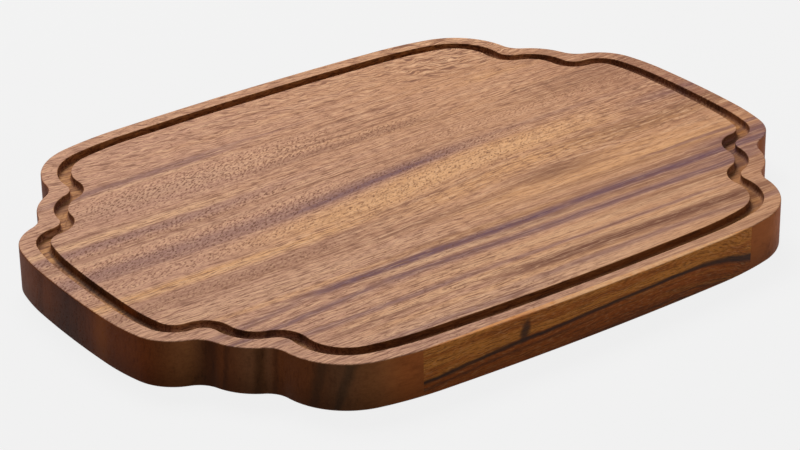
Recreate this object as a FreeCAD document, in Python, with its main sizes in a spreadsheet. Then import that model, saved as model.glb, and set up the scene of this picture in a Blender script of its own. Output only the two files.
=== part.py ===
import FreeCAD, Part
import math
import os

import Sketcher

# A hardwood serving board with bracket-shaped corners and a juice groove that follows them.
# Two pieces of the same wood, glued edge to edge: the wide panel, and the thin sliver of the
# outermost stave that was left along the front side when the outline was shaped.
# +X runs along the grain, -Y is the front side and +Z is up. The origin is the middle of the
# underside. Sizes are millimetres.

# One quarter of the outline is a chain of nine arcs, each tangent to the next. It starts at the
# middle of the front side and ends at the middle of the right end. An inset is the distance
# of an arc's centre from the board's end or from its front side. The groove's two hollow radii
# are those of its outer wall. The strip's two depths are how far its glue line lies behind the
# front side, measured at the board's left and right ends.
SIZES = {
    "board_length": 406.4,
    "board_width": 304.8,
    "board_thickness": 25.4,
    "front_crown_radius": 1872.0,
    "front_shoulder_radius": 184.0,
    "front_shoulder_end_inset": 124.2,
    "front_round_radius": 39.2,
    "front_round_end_inset": 90.6,
    "front_hollow_radius": 13.6,
    "lobe_radius": 33.5,
    "lobe_end_inset": 62.1,
    "lobe_side_inset": 79.4,
    "end_hollow_radius": 14.9,
    "end_round_radius": 26.7,
    "end_round_side_inset": 103.4,
    "end_shoulder_radius": 131.0,
    "end_crown_radius": 603.0,
    "rim_width": 8.9,
    "groove_width": 7.1,
    "groove_depth": 4.4,
    "groove_floor_round": 1.6,
    "groove_front_hollow_radius": 9.4,
    "groove_end_hollow_radius": 8.6,
    "top_edge_bevel": 0.7,
    "bottom_edge_bevel": 1.2,
    "strip_left_depth": 2.4,
    "strip_right_depth": 4.7,
}

START = 1
END = 2
CENTRE = 3
ORIGIN_POINT = (-1, 1)
X_AXIS_LINE = -1
Y_AXIS_LINE = -2
TOLERANCE = 1e-4

document = FreeCAD.newDocument("ServingBoard")
sheet = document.addObject("Spreadsheet::Sheet", "Sizes")
for row, (name, value) in enumerate(SIZES.items(), start=1):
    sheet.set(f"A{row}", name)
    sheet.set(f"B{row}", str(value))
    sheet.setAlias(f"B{row}", name)
document.recompute()


def size(name):
    """The value of one named size in the sheet."""
    return float(sheet.get(name))


def point(x, y):
    """A point of the plan."""
    return FreeCAD.Vector(x, y, 0)


def front_of(centre, distance, x):
    """The point at a distance from a centre, on the front side of it, at a given x."""
    return point(x, centre.y - math.sqrt(distance ** 2 - (x - centre.x) ** 2))


def right_of(centre, distance, y):
    """The point at a distance from a centre, to the right of it, at a given y."""
    return point(centre.x + math.sqrt(distance ** 2 - (y - centre.y) ** 2), y)


def outside_of(first, first_distance, second, second_distance):
    """The point at two given distances from two centres, on the open side of the outline."""
    across = second - first
    gap = across.Length
    along = (first_distance ** 2 - second_distance ** 2 + gap ** 2) / (2 * gap)
    out = math.sqrt(first_distance ** 2 - along ** 2)
    ahead = across / gap
    sideways = point(ahead.y, -ahead.x)
    return first + ahead * along + sideways * out


def outline_radius(name, in_groove):
    """An arc's radius out at the outline, as its value and as its expression.

    The groove runs parallel to the outline except in the hollows, where it turns tighter.
    """
    if in_groove and name.endswith("hollow"):
        value = size(f"groove_{name}_radius") - size("rim_width")
        return value, f"Sizes.groove_{name}_radius - Sizes.rim_width"
    return size(f"{name}_radius"), f"Sizes.{name}_radius"


def quarter_arcs(in_groove):
    """The nine arcs of the front right quarter: name, centre and radius.

    A hollow arc, which bites into the wood, has a negative radius.
    """
    half_length = size("board_length") / 2
    half_width = size("board_width") / 2
    front_crown = size("front_crown_radius")
    front_shoulder = size("front_shoulder_radius")
    front_round = size("front_round_radius")
    front_hollow, _ = outline_radius("front_hollow", in_groove)
    lobe = size("lobe_radius")
    end_hollow, _ = outline_radius("end_hollow", in_groove)
    end_round = size("end_round_radius")
    end_shoulder = size("end_shoulder_radius")
    end_crown = size("end_crown_radius")

    front_crown_centre = point(0, front_crown - half_width)
    front_shoulder_centre = front_of(
        front_crown_centre, front_crown - front_shoulder, half_length - size("front_shoulder_end_inset"))
    front_round_centre = front_of(
        front_shoulder_centre, front_shoulder - front_round, half_length - size("front_round_end_inset"))
    lobe_centre = point(half_length - size("lobe_end_inset"), size("lobe_side_inset") - half_width)
    end_crown_centre = point(half_length - end_crown, 0)
    end_round_y = size("end_round_side_inset") - half_width
    end_shoulder_centre = right_of(end_crown_centre, end_crown - end_shoulder, end_round_y / 2)
    end_round_centre = right_of(end_shoulder_centre, end_shoulder - end_round, end_round_y)
    front_hollow_centre = outside_of(
        front_round_centre, front_round + front_hollow, lobe_centre, lobe + front_hollow)
    end_hollow_centre = outside_of(
        lobe_centre, lobe + end_hollow, end_round_centre, end_round + end_hollow)
    return [
        ("front_crown", front_crown_centre, front_crown),
        ("front_shoulder", front_shoulder_centre, front_shoulder),
        ("front_round", front_round_centre, front_round),
        ("front_hollow", front_hollow_centre, -front_hollow),
        ("lobe", lobe_centre, lobe),
        ("end_hollow", end_hollow_centre, -end_hollow),
        ("end_round", end_round_centre, end_round),
        ("end_shoulder", end_shoulder_centre, end_shoulder),
        ("end_crown", end_crown_centre, end_crown),
    ]


def arc_between(centre, radius, first, last):
    """An arc about a centre from one point to another, as the outline is walked."""
    if radius < 0:
        first, last = last, first
    start = math.atan2(first.y - centre.y, first.x - centre.x)
    end = math.atan2(last.y - centre.y, last.x - centre.x)
    circle = Part.Circle(centre, FreeCAD.Vector(0, 0, 1), abs(radius))
    return Part.ArcOfCircle(circle, start, end)


def bind(sketch, name, expression, *constraint):
    """Add a dimension to a sketch and tie it to the sheet."""
    index = sketch.addConstraint(Sketcher.Constraint(*constraint))
    sketch.renameConstraint(index, name)
    sketch.setExpression(f"Constraints.{name}", expression)


def add_outline(sketch, label, in_groove, inset, inset_text):
    """Draw one quarter of the outline, moved in by an inset, as nine tangent arcs.

    It returns the two open ends, on the Y axis and on the X axis, as (arc, end) pairs.
    """
    arcs = [(name, centre, radius - inset) for name, centre, radius in quarter_arcs(in_groove)]
    joints = [point(0, arcs[0][1].y - arcs[0][2])]
    for (_, centre, radius), (_, next_centre, next_radius) in zip(arcs, arcs[1:]):
        outward = (next_centre - centre) / (radius - next_radius)
        joints.append(centre + outward * radius)
    joints.append(point(arcs[-1][1].x + arcs[-1][2], 0))

    ids = {}
    heads = {}
    tails = {}
    for (name, centre, radius), first, last in zip(arcs, joints, joints[1:]):
        ids[name] = sketch.addGeometry(arc_between(centre, radius, first, last), False)
        heads[name] = START if radius > 0 else END
        tails[name] = END if radius > 0 else START

    names = [name for name, _, _ in arcs]
    for name, following in zip(names, names[1:]):
        sketch.addConstraint(Sketcher.Constraint(
            "Tangent", ids[name], tails[name], ids[following], heads[following]))
    for name, _, radius in arcs:
        sign = "-" if radius > 0 else "+"
        _, radius_text = outline_radius(name, in_groove)
        bind(sketch, f"{label}_{name}_radius", f"{radius_text} {sign} {inset_text}",
             "Radius", ids[name], abs(radius))

    half_length = "Sizes.board_length / 2"
    half_width = "Sizes.board_width / 2"
    centres = {name: centre for name, centre, _ in arcs}
    places_from_end = {
        "front_shoulder": "Sizes.front_shoulder_end_inset",
        "front_round": "Sizes.front_round_end_inset",
        "lobe": "Sizes.lobe_end_inset",
    }
    for name, end_inset in places_from_end.items():
        bind(sketch, f"{label}_{name}_x", f"{half_length} - {end_inset}",
             "DistanceX", *ORIGIN_POINT, ids[name], CENTRE, centres[name].x)
    places_from_side = {
        "lobe": f"{half_width} - Sizes.lobe_side_inset",
        "end_round": f"{half_width} - Sizes.end_round_side_inset",
        "end_shoulder": f"({half_width} - Sizes.end_round_side_inset) / 2",
    }
    for name, from_middle in places_from_side.items():
        bind(sketch, f"{label}_{name}_y", from_middle,
             "DistanceY", ids[name], CENTRE, *ORIGIN_POINT, -centres[name].y)

    front = ids["front_crown"]
    end = ids["end_crown"]
    sketch.addConstraint(Sketcher.Constraint("PointOnObject", front, CENTRE, Y_AXIS_LINE))
    sketch.addConstraint(Sketcher.Constraint("PointOnObject", front, START, Y_AXIS_LINE))
    sketch.addConstraint(Sketcher.Constraint("PointOnObject", end, CENTRE, X_AXIS_LINE))
    sketch.addConstraint(Sketcher.Constraint("PointOnObject", end, END, X_AXIS_LINE))
    bind(sketch, f"{label}_half_width", f"{half_width} - {inset_text}",
         "DistanceY", front, START, *ORIGIN_POINT, -joints[0].y)
    bind(sketch, f"{label}_half_length", f"{half_length} - {inset_text}",
         "DistanceX", *ORIGIN_POINT, end, END, joints[-1].x)
    return (front, START), (end, END)


def add_line(sketch, first, last, *ends):
    """Draw a line and fix its two ends to points of the sketch."""
    line = sketch.addGeometry(Part.LineSegment(first, last), False)
    for own_end, target in zip((START, END), ends):
        sketch.addConstraint(Sketcher.Constraint("Coincident", line, own_end, *target))


def add_saw_area(sketch, edge, edge_text):
    """Draw the area between the glue line and a straight edge, over the board's whole length.

    The edge is parallel to the X axis and lies that far before it.
    """
    half_length = size("board_length") / 2
    half_width = size("board_width") / 2
    glue_left = half_width - size("strip_left_depth")
    glue_right = half_width - size("strip_right_depth")
    corners = [
        point(-half_length, -edge),
        point(half_length, -edge),
        point(half_length, -glue_right),
        point(-half_length, -glue_left),
    ]
    lines = [
        sketch.addGeometry(Part.LineSegment(corners[i], corners[(i + 1) % 4]), False)
        for i in range(4)
    ]
    for i in range(4):
        sketch.addConstraint(Sketcher.Constraint("Coincident", lines[i], END, lines[(i + 1) % 4], START))
    for i in (1, 3):
        sketch.addConstraint(Sketcher.Constraint("Vertical", lines[i]))
    sketch.addConstraint(Sketcher.Constraint("Symmetric", lines[0], START, lines[0], END, Y_AXIS_LINE))
    bind(sketch, "half_length", "Sizes.board_length / 2",
         "DistanceX", *ORIGIN_POINT, lines[0], END, half_length)
    bind(sketch, "edge", edge_text, "DistanceY", lines[0], END, *ORIGIN_POINT, edge)
    bind(sketch, "glue_line_right", "Sizes.board_width / 2 - Sizes.strip_right_depth",
         "DistanceY", lines[2], START, *ORIGIN_POINT, glue_right)
    bind(sketch, "glue_line_left", "Sizes.board_width / 2 - Sizes.strip_left_depth",
         "DistanceY", lines[2], END, *ORIGIN_POINT, glue_left)


def origin_plane(body, role):
    """One of the body's own three origin planes."""
    return next(item for item in body.Origin.OriginFeatures if item.Role == role)


def new_sketch(body, name, height=None):
    """A sketch on the plan of a body, at the underside or at a height from the sheet."""
    sketch = body.newObject("Sketcher::SketchObject", name)
    sketch.AttachmentSupport = [(origin_plane(body, "XY_Plane"), "")]
    sketch.MapMode = "FlatFace"
    if height is not None:
        sketch.setExpression("AttachmentOffset.Base.z", height)
    return sketch


def settle(sketch):
    """Solve a sketch, and stop if any line of it is left free."""
    document.recompute()
    if not sketch.FullyConstrained:
        raise RuntimeError(f"{sketch.Label} is not fully constrained")


def add_blank(body):
    """One quarter of the board as it is sawn: the outline at the full thickness."""
    sketch = new_sketch(body, f"{body.Name}_outline")
    front_end, right_end = add_outline(sketch, "outline", False, 0.0, "0")
    front = point(0, -size("board_width") / 2)
    right = point(size("board_length") / 2, 0)
    middle = point(0, 0)
    add_line(sketch, front, middle, front_end, ORIGIN_POINT)
    add_line(sketch, middle, right, ORIGIN_POINT, right_end)
    settle(sketch)
    blank = body.newObject("PartDesign::Pad", f"{body.Name}_blank")
    blank.Profile = sketch
    blank.setExpression("Length", "Sizes.board_thickness")
    document.recompute()
    return blank


def wall_edges(feature, foot, head, height):
    """The edges at one height of the curved walls that stand from a foot to a head height."""
    names = []
    for number, edge in enumerate(feature.Shape.Edges, start=1):
        level = all(abs(vertex.Z - height) < TOLERANCE for vertex in edge.Vertexes)
        if not level:
            continue
        for face in feature.Shape.ancestorsOfType(edge, Part.Face):
            heights = [vertex.Z for vertex in face.Vertexes]
            is_wall = abs(min(heights) - foot) < TOLERANCE and abs(max(heights) - head) < TOLERANCE
            if is_wall and isinstance(face.Surface, Part.Cylinder):
                names.append(f"Edge{number}")
                break
    return names


def bevel(body, base, name, edges, width):
    """Break the named edges of a feature at 45 degrees, by one of the sheet's widths."""
    chamfer = body.newObject("PartDesign::Chamfer", f"{body.Name}_{name}")
    chamfer.Base = (base, edges)
    chamfer.setExpression("Size", f"Sizes.{width}")
    document.recompute()
    return chamfer


def ease_outer_edges(body, base):
    """Break the top and the bottom edge of the outline, as a sanding block leaves them."""
    top = size("board_thickness")
    edges = wall_edges(base, 0, top, top)
    eased_top = bevel(body, base, "top_edge", edges, "top_edge_bevel")
    edges = wall_edges(eased_top, 0, top - size("top_edge_bevel"), 0)
    return bevel(body, eased_top, "bottom_edge", edges, "bottom_edge_bevel")


def cut(body, sketch, name, depth=None):
    """Cut a sketch down into the wood, to a depth from the sheet or right through."""
    before = body.Shape.Volume
    pocket = body.newObject("PartDesign::Pocket", f"{body.Name}_{name}")
    pocket.Profile = sketch
    if depth is None:
        pocket.Type = "ThroughAll"
    else:
        pocket.setExpression("Length", depth)
    document.recompute()
    if not pocket.Shape.Volume < before - 1:
        raise RuntimeError(f"{pocket.Label} cuts nothing")
    return pocket


def mirror(body, name, role):
    """Mirror the whole body about one of its origin planes and keep both halves."""
    before = body.Shape.Volume
    mirrored = body.newObject("PartDesign::Mirrored", f"{body.Name}_{name}")
    mirrored.TransformMode = "Whole shape"
    mirrored.MirrorPlane = (origin_plane(body, role), [""])
    mirrored.Refine = True
    body.Tip = mirrored
    document.recompute()
    if abs(mirrored.Shape.Volume - 2 * before) > 1:
        raise RuntimeError(f"{mirrored.Label} did not double the body")
    return mirrored


def new_body(name):
    """A sub-part's body, which stands where it was drawn."""
    body = document.addObject("PartDesign::Body", name)
    body.Label = name
    body.Placement = FreeCAD.Placement()
    return body


def make_panel():
    """The wide panel: shaped outline, juice groove, eased edges, sawn straight at the glue line."""
    body = new_body("board_panel")
    add_blank(body)

    # The groove keeps one width. Its rim is wider in the hollows, where it turns tighter.
    sketch = new_sketch(body, "groove_plan", "Sizes.board_thickness")
    rim = size("rim_width")
    island = rim + size("groove_width")
    outer = add_outline(sketch, "outer_wall", True, rim, "Sizes.rim_width")
    inner = add_outline(sketch, "inner_wall", True, island, "(Sizes.rim_width + Sizes.groove_width)")
    half_width = size("board_width") / 2
    half_length = size("board_length") / 2
    add_line(sketch, point(0, rim - half_width), point(0, island - half_width), outer[0], inner[0])
    add_line(sketch, point(half_length - rim, 0), point(half_length - island, 0), outer[1], inner[1])
    settle(sketch)
    groove = cut(body, sketch, "groove", "Sizes.groove_depth")

    # The cutter leaves a flat floor with a rounded corner along each wall.
    top = size("board_thickness")
    floor = top - size("groove_depth")
    bedded = body.newObject("PartDesign::Fillet", "groove_floor")
    bedded.Base = (groove, wall_edges(groove, floor, top, floor))
    bedded.setExpression("Radius", "Sizes.groove_floor_round")
    document.recompute()
    ease_outer_edges(body, bedded)
    mirror(body, "left_half", "YZ_Plane")
    mirror(body, "back_half", "XZ_Plane")

    # The stave was glued on before the outline was cut, and its glue line leans a little.
    sliver = new_sketch(body, "sliver_plan", "Sizes.board_thickness")
    add_saw_area(sliver, half_width, "Sizes.board_width / 2")
    settle(sliver)
    cut(body, sliver, "glue_line")
    return body


def make_strip():
    """The sliver of the outermost stave: what the outline leaves of it beyond the glue line."""
    body = new_body("front_edge_strip")
    blank = add_blank(body)
    ease_outer_edges(body, blank)
    mirror(body, "left_half", "YZ_Plane")
    behind = new_sketch(body, "behind_glue_line", "Sizes.board_thickness")
    add_saw_area(behind, 0.0, "0")
    settle(behind)
    cut(body, behind, "glue_face")
    return body


pieces = [make_panel(), make_strip()]
document.recompute()

for item in document.Objects:
    if "Invalid" in item.State or "Error" in item.State:
        raise RuntimeError(f"{item.Label} failed to build")
for piece in pieces:
    if piece.Shape.isNull() or not piece.Shape.isValid() or len(piece.Shape.Solids) != 1:
        raise RuntimeError(f"{piece.Label} is not one sound solid")

os.makedirs("parts", exist_ok=True)
for piece in pieces:
    piece.Shape.exportStep(f"parts/{piece.Label}.step")
    box = piece.Shape.BoundBox
    print(f"{piece.Label}: {box.XLength:.2f} x {box.YLength:.2f} x {box.ZLength:.2f} mm,"
          f" {piece.Shape.Volume / 1000:.1f} cm3, {len(piece.Shape.Faces)} faces")
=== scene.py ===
import math

import bmesh
import bpy
import numpy as np
from mathutils import Matrix, Vector


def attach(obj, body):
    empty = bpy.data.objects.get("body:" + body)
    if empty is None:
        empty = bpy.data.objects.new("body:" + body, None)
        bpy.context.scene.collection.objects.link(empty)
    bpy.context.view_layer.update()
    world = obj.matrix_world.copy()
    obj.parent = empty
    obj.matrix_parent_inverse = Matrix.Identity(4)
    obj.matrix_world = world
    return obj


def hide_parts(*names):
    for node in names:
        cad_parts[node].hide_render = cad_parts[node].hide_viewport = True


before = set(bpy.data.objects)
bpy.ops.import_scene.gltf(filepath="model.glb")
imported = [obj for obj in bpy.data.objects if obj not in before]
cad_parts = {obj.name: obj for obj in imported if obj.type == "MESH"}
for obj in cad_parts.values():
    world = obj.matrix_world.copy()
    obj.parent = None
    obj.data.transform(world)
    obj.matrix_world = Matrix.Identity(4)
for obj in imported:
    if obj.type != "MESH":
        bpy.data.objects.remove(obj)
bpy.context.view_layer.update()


# Wide panel.
# One flat piece of solid hardwood, sawn to a bracket-cornered outline, with a juice groove that a
# round-cornered cutter followed round inside the edge. Sanded and oiled; it lies on its underside.
mm = 0.001

# The outline, from the middle of the front side to the middle of the right end.
half_length = 203.2 * mm
half_width = 152.4 * mm
thickness = 25.4 * mm
front_crown_radius = 1872.0 * mm
front_shoulder_radius = 184.0 * mm
front_shoulder_x = half_length - 124.2 * mm
front_round_radius = 39.2 * mm
front_round_x = half_length - 90.6 * mm
front_hollow_radius = 13.6 * mm
lobe_radius = 33.5 * mm
lobe_centre = (half_length - 62.1 * mm, 79.4 * mm - half_width)
end_hollow_radius = 14.9 * mm
end_round_radius = 26.7 * mm
end_round_y = 103.4 * mm - half_width
end_shoulder_radius = 131.0 * mm
end_crown_radius = 603.0 * mm

# The groove inside the rim, and the rounds of the edges.
rim_width = 8.9 * mm
groove_width = 7.1 * mm
groove_front_hollow_radius = 9.4 * mm
groove_end_hollow_radius = 8.6 * mm
groove_depth = 4.4 * mm
groove_floor_round = 1.6 * mm
top_round = 0.7 * mm
bottom_round = 1.2 * mm
lip_round = 0.35 * mm

# The straight glue line of the front sliver, by its depth at the board's two ends.
strip_left_depth = 2.4 * mm
strip_right_depth = 4.7 * mm
glue_line_y = (strip_left_depth + strip_right_depth) / 2 - half_width
glue_line_lean = (strip_right_depth - strip_left_depth) / (2 * half_length)

# How finely the meshes are divided. A support row lies beside each round, and keeps the flats flat.
path_step = 1.1 * mm
support = 0.3 * mm
rim_row = 4.5 * mm
edge_steps = 6
lip_steps = 4
side_rows = 6
fill_shares = [0.98, 0.85, 0.65, 0.4, 0.18]
merge_distance = 0.004 * mm
thin_face = 0.002 * mm
sharp_angle = math.radians(50)


def centre_inside(outer, outer_radius, radius, x=None, y=None):
    """Centre of a smaller arc that touches a larger one from inside, where one coordinate is given.

    The two centres are the difference of the radii apart.
    """
    reach = outer_radius - radius
    if x is not None:
        return x, outer[1] - math.sqrt(reach ** 2 - (x - outer[0]) ** 2)
    return outer[0] + math.sqrt(reach ** 2 - (y - outer[1]) ** 2), y


def centre_of_hollow(first, first_radius, second, second_radius, radius):
    """Centre of a hollow that touches two rounds from outside, to the right of the way between them.

    From each round's centre it is the sum of the radii away. With the sums a and b and the distance d
    it lies (d^2 + a^2 - b^2) / 2d along the way, and the root of a^2 less that squared aside.
    """
    way_x, way_y = second[0] - first[0], second[1] - first[1]
    apart = math.hypot(way_x, way_y)
    to_first = first_radius + radius
    to_second = second_radius + radius
    along = (apart ** 2 + to_first ** 2 - to_second ** 2) / (2 * apart)
    aside = math.sqrt(to_first ** 2 - along ** 2)
    return (first[0] + (way_x * along + way_y * aside) / apart,
            first[1] + (way_y * along - way_x * aside) / apart)


def quarter_arcs(front_hollow_radius, end_hollow_radius):
    """Centres, radii and meeting angles of the arcs from the front middle to the right end's middle.

    A hollow's radius is negative. Neighbouring arcs meet where the normal is the difference of their
    centres over that of their radii. The shoulder is split where the glue line meets it, at its left
    end and at its right end.
    """
    front_crown = (0.0, front_crown_radius - half_width)
    front_shoulder = centre_inside(front_crown, front_crown_radius, front_shoulder_radius,
                                   x=front_shoulder_x)
    front_round = centre_inside(front_shoulder, front_shoulder_radius, front_round_radius,
                                x=front_round_x)
    end_crown = (half_length - end_crown_radius, 0.0)
    end_shoulder = centre_inside(end_crown, end_crown_radius, end_shoulder_radius, y=end_round_y / 2)
    end_round = centre_inside(end_shoulder, end_shoulder_radius, end_round_radius, y=end_round_y)
    front_hollow = centre_of_hollow(front_round, front_round_radius, lobe_centre, lobe_radius,
                                    front_hollow_radius)
    end_hollow = centre_of_hollow(lobe_centre, lobe_radius, end_round, end_round_radius,
                                  end_hollow_radius)
    centres = np.array([front_crown, front_shoulder, front_round, front_hollow, lobe_centre,
                        end_hollow, end_round, end_shoulder, end_crown])
    radii = np.array([front_crown_radius, front_shoulder_radius, front_round_radius,
                      -front_hollow_radius, lobe_radius, -end_hollow_radius, end_round_radius,
                      end_shoulder_radius, end_crown_radius])
    meeting = np.diff(centres, axis=0) / -np.diff(radii)[:, None]
    angles = np.concatenate([[-math.pi / 2], np.arctan2(meeting[:, 1], meeting[:, 0]), [0.0]])
    glue_ends = [
        math.atan(lean) + math.asin((glue_line_y + lean * front_shoulder[0] - front_shoulder[1])
                                    / front_shoulder_radius / math.hypot(1, lean))
        for lean in (-glue_line_lean, glue_line_lean)]
    centres = np.insert(centres, [1, 1], centres[1], axis=0)
    radii = np.insert(radii, [1, 1], radii[1])
    angles = np.insert(angles, [2, 2], glue_ends)
    return centres, radii, angles


def whole_path(arcs, counts):
    """The closed path, counterclockwise from the front middle, with one row for each point.

    A row holds its arc's centre, the arc's radius and the outward normal. Each arc is divided evenly
    by its count; one quarter is worked out and mirrored three times.
    """
    centres, radii, angles = arcs
    angle = np.concatenate([np.linspace(start, end, count, endpoint=False)
                            for start, end, count in zip(angles[:-1], angles[1:], counts)] + [[0.0]])
    arc = np.repeat(np.arange(len(radii)), counts)
    arc = np.append(arc, len(radii) - 1)
    quarter = np.column_stack([centres[arc], radii[arc], np.cos(angle), np.sin(angle)])
    back = quarter[::-1] * (1, -1, 1, 1, -1)
    return np.concatenate([quarter[:-1], back[:-1], quarter[:-1] * (-1, -1, 1, -1, -1),
                           back[:-1] * (-1, -1, 1, -1, -1)])


def lay_profile(path, inset, height):
    """Points of a profile that is carried along the path.

    A point is its arc's centre + (radius - inset) * normal, at the profile's height.
    """
    reach = path[:, 2] - inset
    return np.stack([path[:, 0] + reach * path[:, 3], path[:, 1] + reach * path[:, 4],
                     height + 0 * reach], axis=-1)


def eased(inset, radius):
    """How far a rounded edge falls below its face at this inset: r - sqrt(r^2 - (r - inset)^2)."""
    return radius - np.sqrt(radius ** 2 - np.maximum(radius - inset, 0) ** 2)


def turn(steps):
    """Sine and one less cosine of a quarter turn in equal steps."""
    angle = np.linspace(0, math.pi / 2, steps + 1)
    return np.sin(angle), 1 - np.cos(angle)


def grid_faces(row_count, column_count, closed_rows=False, closed_columns=False):
    """Four-cornered faces of a grid whose points are numbered row by row; closed ends are joined."""
    row, column = np.indices((row_count - int(not closed_rows), column_count - int(not closed_columns)))
    here = row * column_count
    beyond = (row + 1) % row_count * column_count
    after = (column + 1) % column_count
    faces = np.stack([here + column, here + after, beyond + after, beyond + column], axis=-1)
    return faces.reshape(-1, 4).tolist()


def mesh_piece(name, points, faces, body, **marks):
    """A smooth-shaded mesh object at the origin that rides on the body, with its doubles merged.

    It carries its marks, one number for each point. Each face corner carries how upright it stands,
    one less the size of its normal's height, and how endwise, its normal's part along the grain squared.
    """
    mesh = bpy.data.meshes.new(name)
    mesh.from_pydata(points.tolist(), [], faces)
    for mark, values in marks.items():
        mesh.attributes.new(mark, "FLOAT", "POINT").data.foreach_set("value", values)
    work = bmesh.new()
    work.from_mesh(mesh)
    bmesh.ops.remove_doubles(work, verts=work.verts, dist=merge_distance)
    bmesh.ops.dissolve_degenerate(work, edges=work.edges, dist=thin_face)
    work.to_mesh(mesh)
    work.free()
    mesh.shade_smooth()
    mesh.set_sharp_from_angle(angle=sharp_angle)
    normals = np.empty(len(mesh.loops) * 3)
    mesh.corner_normals.foreach_get("vector", normals)
    normals = normals.reshape(-1, 3)
    upright = mesh.attributes.new("upright", "FLOAT", "CORNER")
    upright.data.foreach_set("value", 1 - abs(normals[:, 2]))
    endwise = mesh.attributes.new("endwise", "FLOAT", "CORNER")
    endwise.data.foreach_set("value", normals[:, 0] ** 2)
    piece = bpy.data.objects.new(name, mesh)
    bpy.context.scene.collection.objects.link(piece)
    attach(piece, body)
    return piece


# Outline and groove have the same counts of points, so their rows join up. The groove's own hollows
# are given less the rim's width, because its inset is reckoned from the side.
outline_arcs = quarter_arcs(front_hollow_radius, end_hollow_radius)
groove_arcs = quarter_arcs(groove_front_hollow_radius - rim_width, groove_end_hollow_radius - rim_width)
longest = np.maximum(abs(outline_arcs[1] * np.diff(outline_arcs[2])),
                     abs((groove_arcs[1] - rim_width - groove_width) * np.diff(groove_arcs[2])))
counts = np.ceil(longest / path_step).astype(int) + 1
path = whole_path(outline_arcs, counts)
groove_path = whole_path(groove_arcs, counts)

# The inset at which each normal meets the glue line, along the front only and nothing elsewhere. A
# normal that hardly faces the front is held at least_facing, so that nothing is divided by zero.
facing_front = -0.95
least_facing = -0.5
glue_slack = 0.01 * mm
below_line = glue_line_y + glue_line_lean * path[:, 0] - path[:, 1]
toward_line = path[:, 4].clip(-1, least_facing) - glue_line_lean * path[:, 3]
glue_inset = path[:, 2] - below_line / toward_line
beside_strip = (path[:, 4] < facing_front) & (glue_inset > -glue_slack)
glue_inset = np.where(beside_strip, glue_inset.clip(0), 0)

# The profile from the underside to the field inside the groove, as insets and heights.
sine, versed = turn(edge_steps)
lip_sine, lip_versed = turn(lip_steps)
floor_height = thickness - groove_depth
groove_end = rim_width + groove_width
side_heights = np.linspace(bottom_round, thickness - top_round, side_rows)
profile = {
    "bottom": (bottom_round * np.append(1 + support / bottom_round, 1 - sine),
               bottom_round * np.append(0, versed)),
    "side": (0 * side_heights[1:-1], side_heights[1:-1]),
    "top": (np.append(top_round * versed, [top_round + support, rim_row]),
            np.append(thickness - top_round * (1 - sine), [thickness, thickness])),
    "groove": (
        np.concatenate([[rim_width - lip_round - support],
                        rim_width - lip_round * (1 - lip_sine),
                        rim_width + groove_floor_round * versed,
                        groove_end - groove_floor_round * (1 - sine),
                        groove_end + lip_round * lip_versed,
                        [groove_end + lip_round + support]]),
        np.concatenate([[thickness],
                        thickness - lip_round * lip_versed,
                        floor_height + groove_floor_round * (1 - sine),
                        floor_height + groove_floor_round * versed,
                        thickness - lip_round * (1 - lip_sine),
                        [thickness]])),
}


def profile_rows(limit):
    """Rows of inset and height from the underside to the top.

    limit(inset) holds the inset to one side of the glue line, and the eased edges fall with it.
    """
    insets, heights = [], []
    for part in ("bottom", "side", "top"):
        inset = limit(profile[part][0][:, None] + 0 * glue_inset)
        height = profile[part][1][:, None] + 0 * inset
        if part == "bottom":
            height = eased(inset, bottom_round)
        if part == "top":
            height = thickness - eased(inset, top_round)
        insets.append(inset)
        heights.append(height)
    return np.concatenate(insets), np.concatenate(heights)


# Rings of points from the underside over the side and the groove to the top. Each flat is filled with
# its innermost ring, shrunk to the fill shares, and a fan of triangles about a pole closes it.
inset, height = profile_rows(lambda inset: np.maximum(inset, glue_inset))
groove_inset, groove_height = [part[:, None] + 0 * glue_inset for part in profile["groove"]]
rings = np.concatenate([lay_profile(path, inset, height),
                        lay_profile(groove_path, groove_inset, groove_height)])
fills = np.array(fill_shares)[:, None, None] * (1, 1, 0)
underside = rings[0] * fills[::-1]
field = rings[-1] * fills + (0, 0, thickness)
rings = np.concatenate([underside, rings, field])
row_count, column_count = rings.shape[:2]
pole_low = row_count * column_count
pole_high = pole_low + 1
last_row = pole_low - column_count
around = np.arange(column_count)
after = (around + 1) % column_count
low_fan = np.column_stack([pole_low + 0 * around, after, around])
high_fan = np.column_stack([pole_high + 0 * around, last_row + around, last_row + after])
points = np.concatenate([rings.reshape(-1, 3), [[0, 0, 0], [0, 0, thickness]]])
faces = grid_faces(row_count, column_count, closed_columns=True) + low_fan.tolist() + high_fan.tolist()

# Marks for the wood: which rows lie in the groove, and how far each lies from its outer to its inner lip.
groove_first = len(underside) + len(inset)
groove_after = groove_first + len(groove_inset)
row_in_groove = np.zeros(row_count)
row_in_groove[groove_first + 2:groove_after - 2] = 1
row_share = np.zeros(row_count)
row_share[groove_first:groove_after] = ((profile["groove"][0] - rim_width) / groove_width).clip(0, 1)
in_groove, inner_share = [np.append(np.repeat(rows, column_count), [0, 0])
                          for rows in (row_in_groove, row_share)]
panel = mesh_piece("panel_of_figured_wood", points, faces, "root",
                   in_groove=in_groove, inner_share=inner_share)
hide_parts("board_panel")


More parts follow.
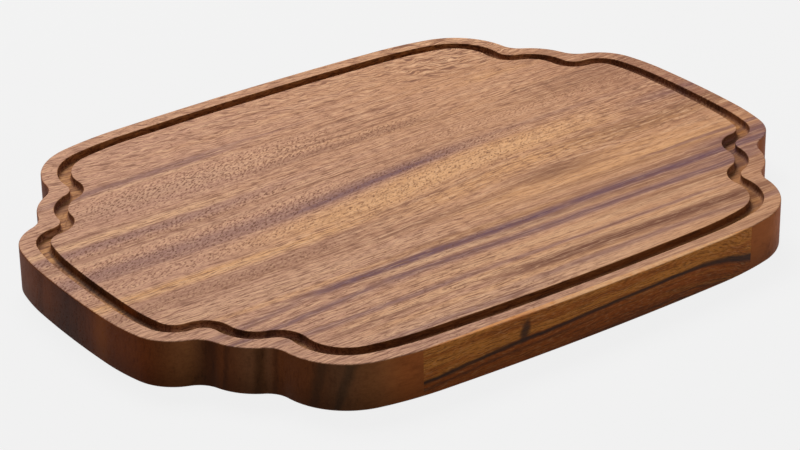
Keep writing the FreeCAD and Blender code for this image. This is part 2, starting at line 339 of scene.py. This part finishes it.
class Wire:
    """One output of a material's nodes.

    Sums and products of wires and numbers add the Math nodes that work them out.
    """

    def __init__(self, socket):
        self.socket = socket

    def node(self, kind, settings, values, out=0):
        """Adds any other node and gives one of its outputs.

        Its settings come first, with a ramp's stops among them, then a number, colour or wire for
        each socket.
        """
        tree = self.socket.id_data
        node = tree.nodes.new(kind)
        for name, value in settings.items():
            if name == "stops":
                ramp = node.color_ramp
                while len(ramp.elements) < len(value):
                    ramp.elements.new(0.5)
                for element, (place, grey) in zip(ramp.elements, value):
                    element.position = place
                    element.color = (grey, grey, grey, 1)
            elif name == "interpolation":
                node.color_ramp.interpolation = value
            else:
                setattr(node, name, value)
        for name, value in values.items():
            if isinstance(value, Wire):
                tree.links.new(value.socket, node.inputs[name])
            else:
                node.inputs[name].default_value = value
        return Wire(node.outputs[out])

    def math(self, operation, *values):
        """One Math node on these values."""
        return self.node("ShaderNodeMath", {"operation": operation}, dict(enumerate(values)))

    def __add__(self, other):
        return self.math("ADD", self, other)

    __radd__ = __add__

    def __sub__(self, other):
        return self.math("SUBTRACT", self, other)

    def __rsub__(self, other):
        return self.math("SUBTRACT", other, self)

    def __mul__(self, other):
        return self.math("MULTIPLY", self, other)

    __rmul__ = __mul__

    def __abs__(self):
        return self.math("ABSOLUTE", self)

    def step(self, low, high):
        """0 at low and 1 at high with a smooth rise between; low may be the greater."""
        return self.node("ShaderNodeMapRange", {"interpolation_type": "SMOOTHSTEP"},
                         {0: self, 1: low, 2: high})

    def held(self):
        """The value kept between 0 and 1."""
        return self.node("ShaderNodeMath", {"operation": "ADD", "use_clamp": True}, {0: self, 1: 0.0})

    def blend(self, first, second, how="MIX"):
        """Two colours mixed by this value."""
        return self.node("ShaderNodeMix", {"data_type": "RGBA", "blend_type": how},
                         {0: self, 6: first, 7: second}, out=2)


def colour(red, green, blue):
    """A colour as linear light, from its three parts on a screen from 0 to 255."""
    parts = [part / 255 for part in (red, green, blue)]
    linear = [part / 12.92 if part <= 0.04045 else ((part + 0.055) / 1.055) ** 2.4 for part in parts]
    return (*linear, 1.0)


def stretched(along, across, down, length, width):
    """A place for a texture whose patches are so long along the grain and so wide across it, in mm."""
    return along.node("ShaderNodeCombineXYZ", {}, {
        0: along * (1 / length), 1: across * (1 / width), 2: down * (1 / width)})


def noise(along, across, down, length, width, detail=2.0, rough=0.5):
    """Cloudy noise from 0 to 1 with stretched patches."""
    place = stretched(along, across, down, length, width)
    return along.node("ShaderNodeTexNoise", {}, {
        "Vector": place, "Scale": 1.0, "Detail": detail, "Roughness": rough})


def pores(along, across, down, length, width, share, size):
    """Open pores as dark flecks: 1 in the middle of a stretched cell, 0 beyond the size.

    Only a share of the cells, picked by each cell's own random colour, holds a pore; a wire may
    vary that share.
    """
    cells = {"Vector": stretched(along, across, down, length, width), "Scale": 1.0}
    distance = along.node("ShaderNodeTexVoronoi", {}, cells)
    lot = along.node("ShaderNodeTexVoronoi", {}, cells, out=1)
    lot = lot.node("ShaderNodeSeparateColor", {}, {0: lot})
    return distance.step(size, size * 0.35) * (share - lot).step(-0.08, 0.08)


def streak(along, across, at, rise, width, start, end, fade=25.0):
    """A soft line along the grain at a distance across it, in mm; it may rise across the grain.

    It is full in its middle and gone at its width, and fades in at its start and out at its end.
    """
    off = abs(across - (along * rise + at))
    ends = along.step(start - fade, start + fade) * along.step(end + fade, end - fade)
    return off.step(width, width * 0.1) * ends


def streaks(along, across, rows):
    """The strongest of several streaks: each row has its strength, then what streak asks for."""
    total = None
    for strength, *row in rows:
        one = streak(along, across, *row) * strength
        total = one if total is None else total.math("MAXIMUM", total, one)
    return total


def new_material(name):
    """A material, its shader, and the place along, across and down from the board's top, in mm."""
    material = bpy.data.materials.new(name)
    material.use_nodes = True
    shader = material.node_tree.nodes["Principled BSDF"]
    place = Wire(shader.outputs[0]).node("ShaderNodeTexCoord", {}, {}, out=3)
    along, across, height = [place.node("ShaderNodeSeparateXYZ", {}, {0: place}, out=part) * (1 / mm)
                             for part in range(3)]
    return material, shader, along, across, height - thickness / mm


def read_mark(start, name):
    """A number that the mesh carries, by its name."""
    return start.node("ShaderNodeAttribute", {"attribute_name": name}, {}, out=2)


bump_strength = 0.2
bump_depth = 0.15 * mm
oil_gloss = 0.08
board_height = thickness / mm


def lay_wood(piece, material, shader, base, roughness, relief):
    """Gives the piece its oiled wood: the colour, the roughness and the relief as a slight bump."""
    bump = relief.node("ShaderNodeBump", {}, {
        "Strength": bump_strength, "Distance": bump_depth, "Height": relief})
    for name, wire in (("Base Color", base), ("Roughness", roughness), ("Normal", bump)):
        shader.id_data.links.new(wire.socket, shader.inputs[name])
    shader.inputs["Specular IOR Level"].default_value = oil_gloss
    piece.data.materials.append(material)


# Colours are given as on a screen. Stains, and the painted shade and light that some of them hold,
# are multiplied in, as shares of red, green and blue light.
pink_wood = colour(190, 142, 115)
tan_wood = colour(193, 142, 103)
pale_wood = colour(219, 174, 136)
gold_wood = colour(218, 162, 106)
rim_wood = colour(146, 96, 76)
brown_wood = colour(103, 57, 35)
purple_wood = colour(90, 58, 75)
fibre_wood = colour(118, 76, 54)
pore_wood = colour(92, 56, 42)
side_stain = (0.6, 0.42, 0.22, 1.0)
lobe_stain = (0.55, 0.48, 0.36, 1.0)
# The dark stripe colour also paints shade low on the sides.
dark_stripe_and_shade = (0.3, 0.27, 0.21, 1.0)
corner_shade = (0.32, 0.4, 0.46, 1.0)
end_stain = (0.66, 0.4, 0.22, 1.0)
end_gold = colour(148, 78, 30)
# The front side's stain also holds painted light.
front_stain_and_light = (0.76, 0.42, 0.165, 1.0)
# The groove's colours are partly its cut grain and partly painted shade; the left one is a painted shadow.
groove_floor_grain_and_shade = (0.78, 0.66, 0.42, 1.0)
groove_front_grain_and_shade = (0.3, 0.18, 0.085, 1.0)
groove_back_grain_and_shade = (0.48, 0.33, 0.17, 1.0)
groove_end_stain = (0.8, 0.76, 0.8, 1.0)
groove_left_painted_shadow = (0.36, 0.3, 0.27, 1.0)

# Figure is the place across the grain, with a slow drift, a ripple that is stronger in the wavy wood
# at the back, a bend in the middle third and a lean with depth. Every band and line follows it.
material, shader, along, across, down = new_material("oiled_panel_wood")
slow = noise(along, across, down, 110.0, 45.0, 1.0)
ripple = noise(along, across, down, 15.0, 8.0, 1.0)
bend = along.step(-95.0, 75.0) * abs(across).step(60.0, 5.0) * 14.0
wavy = across.step(92.0, 108.0) + (across.step(64.0, 80.0) * along.step(70.0, 100.0)) * 0.7
figure = across - bend + (slow - 0.5) * 4.0 + (ripple - 0.5) * (1.6 + 5.0 * wavy) + down * 0.06

# The bands and lines of each colour, from the photo. Each row: strength, distance across from the
# middle, rise, width, start and end along, and the fade where it isn't the usual one.
purple_mask = streaks(along, figure, [
    (0.6, 93.5, 0.02, 6.0, -170.0, -50.0),
    (0.4, 95.0, 0.0, 2.2, -110.0, 0.0),
    (0.2, 66.0, 0.0, 15.0, -160.0, -70.0),
    (0.5, 36.0, 0.0, 6.5, -240.0, -70.0, 60.0),
    (0.5, 7.5, 0.0, 11.0, -240.0, -20.0, 60.0),
    (0.45, 2.5, 0.0, 4.0, -240.0, 30.0),
    (0.62, 6.5, 0.0, 10.0, -80.0, 60.0, 40.0),
    (0.85, 4.5, 0.0, 5.5, -80.0, 50.0, 40.0),
    (0.35, 8.5, 0.0, 5.0, 40.0, 150.0, 40.0),
    (0.5, -10.0, 0.0, 8.0, 160.0, 240.0),
    (0.65, -62.0, 0.0, 8.0, 150.0, 240.0),
    (0.6, -52.8, 0.0, 2.2, 117.0, 240.0),
    (0.55, -58.0, 0.14, 4.5, -180.0, -115.0, 20.0),
    (0.98, -72.6, 0.004, 5.6, -115.0, 60.0),
    (0.3, -74.0, 0.0, 8.0, -90.0, 160.0, 40.0),
    (0.95, -72.4, 0.008, 6.5, 40.0, 240.0),
    (0.75, -78.3, 0.081, 3.8, -200.0, -75.0, 15.0),
    (0.8, -84.0, -0.002, 5.2, -80.0, 170.0, 20.0),
    (0.55, -79.5, 0.0, 8.0, 115.0, 240.0, 50.0),
    (0.6, -103.4, 0.0, 3.8, -150.0, -25.0),
    (0.55, -103.2, 0.0, 2.6, -30.0, 130.0),
    (0.45, -126.0, 0.0, 4.0, 100.0, 240.0),
    (0.55, -131.5, 0.01, 4.0, -120.0, -15.0),
    (0.5, -125.5, 0.015, 4.0, -20.0, 120.0),
    (0.15, -146.0, 0.0, 9.0, -120.0, 240.0, 40.0),
])
brown_mask = streaks(along, figure, [
    (0.3, 28.0, 0.0, 6.0, -240.0, -80.0),
    (0.35, -37.0, 0.0, 12.0, -240.0, -40.0, 50.0),
    (0.7, -42.0, 0.0, 9.0, 45.0, 95.0),
    (0.55, -29.0, 0.0, 10.0, 100.0, 240.0, 40.0),
    (0.45, -56.0, 0.0, 4.0, 20.0, 150.0, 40.0),
    (0.5, -64.5, 0.0, 4.0, 40.0, 200.0, 40.0),
    (0.5, -77.5, 0.0, 3.5, 0.0, 150.0, 40.0),
    (0.4, -92.0, 0.0, 5.0, 60.0, 240.0, 40.0),
    (1.0, -115.3, 0.0, 7.5, -20.0, 150.0, 30.0),
    (0.4, -30.0, 0.0, 3.5, -90.0, -10.0),
    (0.5, -44.5, 0.0, 4.5, -60.0, 40.0, 40.0),
    (0.4, -66.0, 0.0, 5.0, -60.0, 180.0, 40.0),
    (0.4, -113.0, 0.0, 3.0, -130.0, -60.0),
    (0.4, -119.0, 0.0, 8.0, 60.0, 240.0, 40.0),
    (0.55, 22.7, -0.097, 2.0, -70.0, 50.0),
    (0.5, -25.6, -0.037, 1.6, -53.0, 50.0),
    (0.5, 84.0, 0.0, 2.0, -14.0, 60.0),
    (0.5, 74.5, 0.0, 2.2, -20.0, 50.0),
    (0.5, 68.5, 0.0, 2.0, -40.0, 40.0),
    (0.45, 59.0, 0.0, 6.0, -60.0, 60.0),
    (0.55, 54.5, 0.0, 4.5, 110.0, 240.0),
    (0.35, 42.0, 0.0, 18.0, 110.0, 240.0, 50.0),
    (0.4, 48.0, 0.0, 2.0, -190.0, -90.0),
    (0.3, 88.0, 0.0, 10.0, 140.0, 240.0),
])
gold_mask = streaks(along, figure, [
    (0.9, -23.5, 0.0, 7.0, -240.0, -30.0, 50.0),
    (1.0, -13.0, 0.0, 15.0, -90.0, 120.0, 50.0),
    (0.55, -49.0, 0.0, 15.0, 0.0, 200.0, 50.0),
    (0.6, -31.0, 0.0, 10.0, -30.0, 200.0, 50.0),
    (0.35, -96.0, 0.0, 10.0, -80.0, 60.0, 50.0),
    (0.6, 43.5, 0.0, 4.0, -240.0, -90.0, 40.0),
    (0.35, 84.0, 0.0, 9.0, 95.0, 140.0),
    (0.5, -66.5, 0.0, 4.0, -170.0, 60.0),
    (0.5, -77.8, 0.0, 3.0, -70.0, 120.0),
    (0.4, -109.0, 0.0, 5.0, -120.0, 120.0),
    (0.45, -120.5, 0.0, 4.5, -110.0, 60.0),
])
pale_mask = streaks(along, figure, [
    (0.6, 43.5, 0.0, 5.0, -240.0, -80.0, 40.0),
    (0.4, 86.0, 0.0, 3.0, -150.0, -60.0),
    (0.85, -77.8, 0.0, 3.0, -70.0, 60.0, 40.0),
    (0.35, 70.0, 0.0, 10.0, -150.0, -40.0, 50.0),
    (0.35, -130.0, 0.0, 14.0, -120.0, 60.0, 50.0),
    (0.35, -55.0, 0.0, 12.0, -200.0, -40.0, 50.0),
    (0.4, -95.0, 0.0, 5.0, -60.0, 120.0, 40.0),
    (0.4, -109.5, 0.0, 4.0, -100.0, 120.0, 40.0),
    (0.3, -13.0, 0.0, 10.0, -60.0, 110.0, 40.0),
    (0.3, -25.0, 0.0, 3.0, -240.0, -60.0, 40.0),
    (0.3, 22.0, 0.0, 3.0, -240.0, -60.0, 40.0),
])

# The bands of coarse open pores, which lie a little aslant to the grain.
dotted = (1.7 * streaks(along, figure, [
    (0.8, 70.0, 0.0, 22.0, -150.0, 0.0, 30.0),
    (0.7, 60.0, 0.0, 9.0, 0.0, 50.0),
    (0.9, 33.5, 0.0, 8.0, -240.0, -60.0, 30.0),
    (0.9, 11.0, 0.0, 16.0, -240.0, -30.0, 40.0),
    (0.8, 6.0, 0.0, 9.0, -30.0, 80.0, 40.0),
    (0.5, -9.0, 0.0, 10.0, -240.0, -60.0, 30.0),
    (0.4, -12.0, 0.0, 17.0, -60.0, 110.0, 40.0),
    (0.45, -36.0, 0.0, 9.0, -240.0, -70.0),
    (0.4, 30.0, 0.0, 12.0, 20.0, 200.0),
])).held()

# Grain of every size, from broad ribbons over lines and strokes to single fibres.
broad = noise(along, figure, down * 0.25, 170.0, 7.0, 3.0)
lines = noise(along, figure, down * 0.25, 70.0, 1.6, 3.0, 0.65)
strokes = noise(along, figure, down, 12.0, 1.3, 2.0, 0.65)
waves = noise(along, figure + along * 0.22, down, 11.0, 1.6, 2.0, 0.65)
strokes = strokes * (1 - wavy) + waves * wavy
fibre = noise(along, figure, down, 6.0, 0.6, 2.0, 0.65)
slant_cosine = 0.84
slant_sine = 0.54
slant_along = along * slant_cosine + figure * slant_sine
slant_across = figure * slant_cosine - along * slant_sine
grains = noise(slant_along, slant_across, down, 2.8, 1.25, 1.0)

# The top's colour: the ground, the bands, then pale and dark grain over them. The grain is weaker
# in the calm front right quarter and in the dotted bands, and its pale part in the purple lines.
calm = along.step(-40.0, 60.0) * across.step(-15.0, -45.0)
lively = (1 - 0.5 * calm) * (1 - 0.75 * dotted)
clear = 1 - 0.55 * purple_mask
base = (along.step(-160.0, 120.0) * 0.8 + (broad - 0.5) * 1.5).held().blend(pink_wood, tan_wood)
base = (along.step(110.0, 200.0) * 0.5 + along.step(186.0, 196.0) * 0.3).blend(base, rim_wood)
base = (gold_mask * (0.6 + 0.8 * broad)).held().blend(base, gold_wood)
base = (pale_mask * (0.5 + broad)).held().blend(base, pale_wood)
base = (grains.step(0.5, 0.28) * dotted * 0.75).blend(base, pale_wood)
base = (brown_mask * (0.7 + 0.6 * lines)).held().blend(base, brown_wood)
base = (purple_mask * (0.8 + 0.4 * lines)).held().blend(base, purple_wood)
base = (lines.step(0.5, 0.3) * (1 - 0.6 * dotted) * clear * 0.55).blend(base, pale_wood)
base = (lines.step(0.5, 0.72) * (1 - 0.6 * dotted) * 0.6).blend(base, fibre_wood)
base = (strokes.step(0.5, 0.3) * lively * clear * 0.65).blend(base, pale_wood)
base = (strokes.step(0.49, 0.7) * lively * 0.9).blend(base, fibre_wood)
base = (fibre.step(0.46, 0.7) * lively * 0.85).blend(base, fibre_wood)
base = (grains.step(0.5, 0.7) * dotted * 0.8).blend(base, fibre_wood)

# Open pores: dots aslant where they crowd in the dotted bands, dashes along the grain elsewhere.
upright = read_mark(along, "upright")
endwise = read_mark(along, "endwise")
crowd = 0.04 + 0.14 * noise(along, figure, down, 50.0, 12.0) + 0.72 * dotted - 0.1 * calm
dots = pores(slant_along, slant_across, down, 2.5, 1.35, crowd, 0.45)
dashes = pores(along, figure, down, 7.0, 1.0, crowd * (1 - 0.8 * dotted), 0.36)
open_pores = (dots + dashes * 0.8).held()
pore_strength = 0.42 + 0.28 * dotted + 0.25 * purple_mask - 0.3 * upright
base = (open_pores * pore_strength).blend(base, pore_wood)

# The groove's cut faces are darker than the top, partly by their grain and partly by painted
# shade: the floor a little, the walls a lot. At the corners the painted shade on the walls is
# darkest at their top and fades down into the floor, and at the left end a painted shadow lies on
# the floor's inner part.
in_groove = read_mark(along, "in_groove")
inner_share = read_mark(along, "inner_share")
left_end = along.step(-172.0, -184.0) * abs(across).step(62.0, 45.0)
corner = abs(along).step(115.0, 150.0) * (1 - left_end)
hard_wall = upright.step(0.05, 0.5)
fading_wall_shade = upright.step(0.02, 1.0) * down.step(-4.3, -1.2) * 0.9
wall = hard_wall + corner * (fading_wall_shade - hard_wall)
inner_floor_shadow = inner_share.step(0.62, 0.85) * (1 - hard_wall)
toward_back = (across.step(-70.0, 70.0) + corner * 0.7).held()
wall_grain_and_shade = toward_back.blend(groove_front_grain_and_shade, groove_back_grain_and_shade)
base = (in_groove * upright.step(0.6, 0.1)).blend(base, groove_floor_grain_and_shade, "MULTIPLY")
base = (in_groove * left_end * inner_floor_shadow).blend(base, groove_left_painted_shadow, "MULTIPLY")
base = (in_groove * wall).blend(base, wall_grain_and_shade, "MULTIPLY")
base = (in_groove * endwise.step(0.05, 0.6)).blend(base, groove_end_stain, "MULTIPLY")

# The outer sides are darker and redder than the top, with stripes where bands of the figure reach
# them. The stripes of the front left corner lean with depth, and a golden stave shows in the left end.
outside = 1 - in_groove
side = upright.step(0.4, 0.9)
base = (outside * upright.step(0.3, 0.9) * 0.75).blend(base, pink_wood)
stain = (across.step(-70.0, -84.0) * endwise.step(0.1, 0.5)).blend(side_stain, lobe_stain)
# Right of the front left corner the side takes a lighter stain: its own colour with painted light where it
# faces the front lamps.
stain = along.step(-126.0, -106.0).blend(stain, front_stain_and_light)
base = (outside * upright.step(0.1, 0.85)).blend(base, stain, "MULTIPLY")
side_stripes = streaks(along, figure, [
    (1.0, 0.0, 0.0, 28.0, -240.0, -180.0),
    (0.25, -68.0, 0.0, 8.0, -240.0, -150.0),
    (0.6, -152.0, 0.0, 14.0, -240.0, -124.0, 8.0),
    (0.9, -81.0, 0.0, 7.5, -240.0, -120.0),
    (0.7, -89.5, 0.0, 2.0, -240.0, -120.0),
    (0.8, -101.5, 0.0, 2.6, -240.0, -120.0),
    (0.5, -106.5, 0.0, 1.8, -240.0, -120.0),
    (0.4, 62.0, 0.0, 6.0, -240.0, -150.0),
    (0.5, 30.0, 0.0, 5.0, -240.0, -150.0),
    (0.6, -35.0, 0.0, 9.0, 150.0, 240.0),
    (0.5, 20.0, 0.0, 7.0, 150.0, 240.0),
    (0.6, 88.0, 0.0, 5.0, 130.0, 240.0),
])
leaning = across + down * 0.19 + (ripple - 0.5) * 3.0
corner_stripes = streaks(along, leaning, [
    (0.8, -131.0, 0.0, 5.0, -170.0, -125.0, 8.0),
    (0.85, -140.0, 0.0, 3.5, -170.0, -120.0, 8.0),
    (0.4, -136.0, 0.0, 12.0, -170.0, -122.0, 8.0),
])
base = (side * corner_stripes).blend(base, corner_shade, "MULTIPLY")
side_stripes = side_stripes + lines.step(0.5, 0.8) * 0.5
base = (side * side_stripes * (0.4 + broad)).held().blend(base, dark_stripe_and_shade, "MULTIPLY")
base = (outside * endwise.step(0.05, 0.9)).blend(base, end_stain, "MULTIPLY")
golden_stave = streak(along, figure, -29.0, 0.0, 9.0, -240.0, -185.0)
base = (side * golden_stave * 0.95).blend(base, end_gold)
# Painted shade: the sides darken towards the bottom.
base = (side * down.step(-9.0, -board_height) * 0.6).blend(base, dark_stripe_and_shade, "MULTIPLY")
lay_wood(panel, material, shader, base, 0.5 + 0.12 * lines + 0.2 * open_pores,
         fibre * 0.3 + strokes * 0.3 - open_pores * 0.9 + lines * 0.15)


# Glued sliver of the outermost stave.
# The outline was sawn from a board of glued staves, and its crowned front side left this thin lens
# of the next stave standing on the straight glue line. Its own golden figure shows on the side.

# Its rows run from the underside over the side to the top and down the glue face, and are closed. Its
# columns are those beside the glue line, taken from left to right; its tips shrink to an edge.
inset, height = profile_rows(lambda inset: np.minimum(inset, glue_inset))
glue_face = np.concatenate([[thickness - top_round], side_heights[-2:0:-1], [bottom_round]])[:, None]
inset = np.concatenate([inset, glue_inset + 0 * glue_face])
height = np.concatenate([height, glue_face + 0 * glue_inset])
from_back = np.flatnonzero(np.roll(beside_strip, column_count // 2))
order = (from_back - column_count // 2) % column_count
tube = lay_profile(path[order], inset[:, order], height[:, order])
strip = mesh_piece("strip_of_golden_wood", tube.reshape(-1, 3),
                   grid_faces(*tube.shape[:2], closed_rows=True), "root")
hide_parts("front_edge_strip")

strip_pale = colour(216, 168, 122)
strip_gold = colour(204, 130, 58)
strip_red = colour(165, 86, 34)
strip_dark = colour(52, 32, 25)
strip_fibre = colour(104, 58, 30)
knot_dark = colour(50, 33, 28)

# The dark line's height as a share of the board's, at shares of the way from the left tip to the
# right tip. All other figure of the strip follows it: off is the height above its middle.
left_tip = -99.4
tip_to_tip = 207.5
line_stops = [(0.0, 0.26), (0.2, 0.48), (0.35, 0.48), (0.55, 0.56), (0.8, 0.66), (0.92, 0.5),
              (1.0, 0.28)]
material, shader, along, across, down = new_material("oiled_strip_wood")
wander = noise(along, across, down, 55.0, 12.0, 2.0)
ruffle = noise(along, across, down, 7.0, 5.0, 2.0)
line_height = along.node("ShaderNodeValToRGB", {"interpolation": "B_SPLINE", "stops": line_stops},
                         {0: (along - left_tip) * (1 / tip_to_tip)})
line_height = line_height.node("ShaderNodeSeparateColor", {}, {0: line_height}) * board_height
off = down + board_height - line_height + (wander - 0.5) * 1.5 + (ruffle - 0.5) * 0.8
figure = off + along * 0.035 + (wander - 0.5) * 4.0 + (ruffle - 0.5) * 0.8
broad = noise(along, figure, across, 60.0, 3.0, 2.0)
lines = noise(along, figure, across, 30.0, 0.8, 3.0, 0.65)
strokes = noise(along, figure, across, 4.0, 0.6, 2.0, 0.65)

# Gold above the line and red below it, paler on the top edge, partly by its sanding and partly by a
# painted highlight, with fine dark grain.
upright = read_mark(along, "upright")
top_edge = upright.step(0.6, 0.2)
below_edge = 1 - 0.6 * top_edge
red_share = 0.85 - 0.35 * along.step(20.0, 90.0)
base = (off.step(1.5, -2.5) * red_share + broad.step(0.4, 0.62) * 0.7).held().blend(strip_gold, strip_red)
# The top edge's pale colour: its sanding and a painted highlight.
sanding_and_highlight = top_edge * (0.3 + 0.6 * along.step(-50.0, 0.0)) * ruffle.step(0.2, 0.55)
base = sanding_and_highlight.blend(base, strip_pale)
base = (lines.step(0.46, 0.7) * below_edge * 0.7).blend(base, strip_fibre)
base = (strokes.step(0.48, 0.7) * below_edge * 0.65).blend(base, strip_fibre)
base = (strokes.step(0.48, 0.3) * 0.3).blend(base, strip_pale)

# The dark line, wider at the right, a faint second one below its left half, and the shaded foot.
half = 0.85 + along.step(60.0, 100.0) * 0.85
dark_line = abs(off).step(half * 2.1, half * 0.4) * (0.75 + 0.4 * lines)
second_line = abs(off + 3.8).step(1.4, 0.2) * along.step(60.0, -20.0)
low_shade = (off + 11.0 - 0.02 * along).step(3.0, -3.0) * lines.step(0.35, 0.6)
base = dark_line.held().blend(base, strip_dark)
base = (second_line * 0.5).blend(base, strip_dark)
base = (low_shade * 0.6).blend(base, strip_dark)

# A small knot stands on the line, 40.5 mm left of the middle and 8.5 mm below the top: an uneven
# upright ellipse.
knot_along = along + 40.5
knot_down = down + 8.5
knot_x = knot_along * 0.36 + (ruffle - 0.5) * 2.4 - knot_down * 0.07
knot_z = knot_down * 0.19 + (wander - 0.5) * 0.8
knot = (knot_x * knot_x + knot_z * knot_z).step(2.2, 0.0)
base = (knot * 0.9).blend(base, knot_dark)

pore = pores(along, figure, across, 4.0, 0.7, 0.3 + 0.25 * broad, 0.36)
base = (pore * (1 - 0.7 * top_edge) * 0.45).blend(base, strip_dark)
# Painted shade: the strip's side darkens towards the bottom.
base = (upright.step(0.4, 0.9) * down.step(-9.0, -board_height) * 0.5).blend(base, dark_stripe_and_shade, "MULTIPLY")
lay_wood(strip, material, shader, base, 0.5 + 0.1 * lines, lines * 0.25 + strokes * 0.25 - pore * 0.5)


# Studio.
# A pale floor that reads as the photo's even background and keeps a faint shadow, a wide soft lamp
# overhead from behind the board, two weak ones from the front, and the camera of the photo.
background = 0.888
dim = 0.08
shadow_share = 0.05
floor_half = 4.0
floor_drop = 0.2 * mm


def camera_sees(start):
    """1 for a ray from the camera, a mirror or glass, which sees the pale background, else 0."""
    direct, mirrored, through = [start.node("ShaderNodeLightPath", {}, {}, out=kind) for kind in (0, 3, 6)]
    return (direct + mirrored + through).held()


floor_mesh = bpy.data.meshes.new("studio_floor")
floor_mesh.from_pydata([(-floor_half, -floor_half, 0), (floor_half, -floor_half, 0),
                        (floor_half, floor_half, 0), (-floor_half, floor_half, 0)], [], [(0, 1, 2, 3)])
floor = bpy.data.objects.new("studio_floor", floor_mesh)
bpy.context.scene.collection.objects.link(floor)
floor.location.z = -floor_drop

# Seen directly, the floor glows as pale as the background and takes a small share of real light near
# the board, for the shadow. To all other rays it is dark and matt, so that it hardly lights the board.
material = bpy.data.materials.new("pale_floor")
material.use_nodes = True
tree = material.node_tree
tree.nodes.remove(tree.nodes["Principled BSDF"])
output = tree.nodes["Material Output"]
place = Wire(tree.nodes.new("ShaderNodeTexCoord").outputs[3])
reach = place.node("ShaderNodeVectorMath", {"operation": "LENGTH"}, {0: place}, out=1)
lit_share = reach.step(0.9, 0.3) * shadow_share
glow = place.node("ShaderNodeEmission", {}, {0: (background, background, background, 1), 1: 1.0})
lit = place.node("ShaderNodeBsdfDiffuse", {}, {0: (0.8, 0.8, 0.8, 1)})
pale = place.node("ShaderNodeMixShader", {}, {0: lit_share, 1: glow, 2: lit})
dark = place.node("ShaderNodeBsdfDiffuse", {}, {0: (0.2, 0.19, 0.18, 1)})
whole = place.node("ShaderNodeMixShader", {}, {0: camera_sees(place), 1: dark, 2: pale})
tree.links.new(whole.socket, output.inputs["Surface"])
floor_mesh.materials.append(material)

# The world is as pale as the floor to the camera, and lights the board only dimly.
world = bpy.data.worlds.new("studio")
bpy.context.scene.world = world
world.use_nodes = True
tree = world.node_tree
backdrop = tree.nodes["Background"]
seen = camera_sees(Wire(backdrop.outputs[0]))
tree.links.new((dim + seen * (background - dim)).socket, backdrop.inputs["Strength"])
backdrop.inputs["Color"].default_value = (1, 1, 1, 1)


def lamp(name, place, size, power, tint):
    """A soft rectangular lamp at a place, in metres, turned to face the board; its power is in watts."""
    data = bpy.data.lights.new(name, "AREA")
    data.shape = "RECTANGLE"
    data.size, data.size_y = size
    data.energy = power
    data.color = tint
    piece = bpy.data.objects.new(name, data)
    piece.location = place
    piece.rotation_euler = (-Vector(place)).to_track_quat("-Z", "Y").to_euler()
    bpy.context.scene.collection.objects.link(piece)


lamp("key_behind", (0.4, 1.35, 1.9), (1.4, 1.1), 62.5, (1.0, 0.99, 0.985))
lamp("fill_right", (1.3, -1.2, 0.5), (1.0, 0.8), 8.0, (1.0, 0.97, 0.94))
lamp("fill_left", (-1.2, -0.9, 0.6), (1.0, 0.8), 2.8, (1.0, 0.97, 0.94))

# The camera as fitted to the photo: turned by yaw, tilted by pitch and rolled, in radians, and so far
# away from the point that it looks at.
yaw = -0.6234
pitch = 0.4674
roll = -0.0159
away = 1441.9 * mm
target = Vector((-31.85, -38.27, 25.4)) * mm
sensor_width = 36.0
focal_length = 127.84
back = Vector((math.sin(yaw) * math.cos(pitch), -math.cos(yaw) * math.cos(pitch), math.sin(pitch)))
right = (-back).cross(Vector((0, 0, 1))).normalized()
up = right.cross(-back)
camera_x = math.cos(roll) * right + math.sin(roll) * up
camera_y = math.cos(roll) * up - math.sin(roll) * right
data = bpy.data.cameras.new("camera")
data.sensor_width = sensor_width
data.lens = focal_length
camera = bpy.data.objects.new("camera", data)
bpy.context.scene.collection.objects.link(camera)
turned = Matrix((camera_x, camera_y, back)).transposed().to_4x4()
camera.matrix_world = Matrix.Translation(target + away * back) @ turned
bpy.context.scene.camera = camera
bpy.context.scene.view_settings.view_transform = "Standard"
